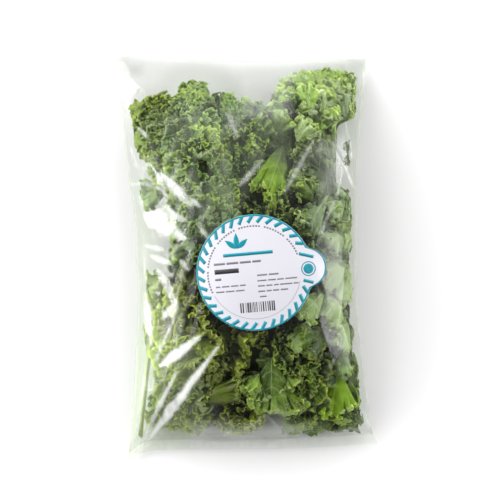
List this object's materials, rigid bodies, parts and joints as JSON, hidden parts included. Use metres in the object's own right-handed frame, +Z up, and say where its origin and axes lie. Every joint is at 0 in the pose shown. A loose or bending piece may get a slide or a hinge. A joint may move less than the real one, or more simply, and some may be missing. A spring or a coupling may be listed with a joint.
{
  "type": "kale bunch",
  "caption": "Bunch of curly and broad kale leaves lying in a clear film bag, sealed at one end and flat and open at the other, with a round paper sticker.",
  "frame": {"origin": "centre of the bag's footprint, on the surface that it lies on", "axes": "+Z up, out of the front film; +Y along the bag, from its sealed end to its open mouth; +X across it, towards the sticker's tab"},
  "size_m": [0.242, 0.3772, 0.0647],
  "materials": {
    "bag_film": "clear glossy film, slightly milky, wrinkled",
    "label_sticker": "smooth white coated paper with a blue-green printed rim",
    "kale_curly": "fresh curly kale leaf, satin, dark blue-green with yellow-green frills",
    "kale_broad": "fresh broad kale leaf seen from its paler back, waxy, with pale veins",
    "kale_stalk": "fresh pale green leaf stalk, satin"
  },
  "bodies": {
    "root": {"bag_film": "bag_film", "label_sticker": "label_sticker", "leaf_curly_01": "kale_curly", "leaf_broad_01": "kale_broad", "leaf_broad_02": "kale_broad", "leaf_broad_03": "kale_broad", "leaf_curly_02": "kale_curly", "leaf_curly_03": "kale_curly", "leaf_curly_04": "kale_curly", "leaf_curly_05": "kale_curly", "leaf_broad_04": "kale_broad", "leaf_broad_05": "kale_broad", "leaf_curly_06": "kale_curly", "leaf_curly_07": "kale_curly", "leaf_stalk_01": "kale_stalk", "leaf_broad_06": "kale_broad", "leaf_curly_08": "kale_curly", "leaf_broad_07": "kale_broad", "leaf_curly_09": "kale_curly", "leaf_curly_10": "kale_curly", "leaf_broad_08": "kale_broad", "leaf_curly_11": "kale_curly", "leaf_curly_12": "kale_curly", "leaf_broad_09": "kale_broad", "leaf_curly_13": "kale_curly", "leaf_broad_10": "kale_broad", "leaf_scrap_01": "kale_broad", "leaf_scrap_02": "kale_broad", "leaf_scrap_03": "kale_broad"}
  },
  "joints": []
}
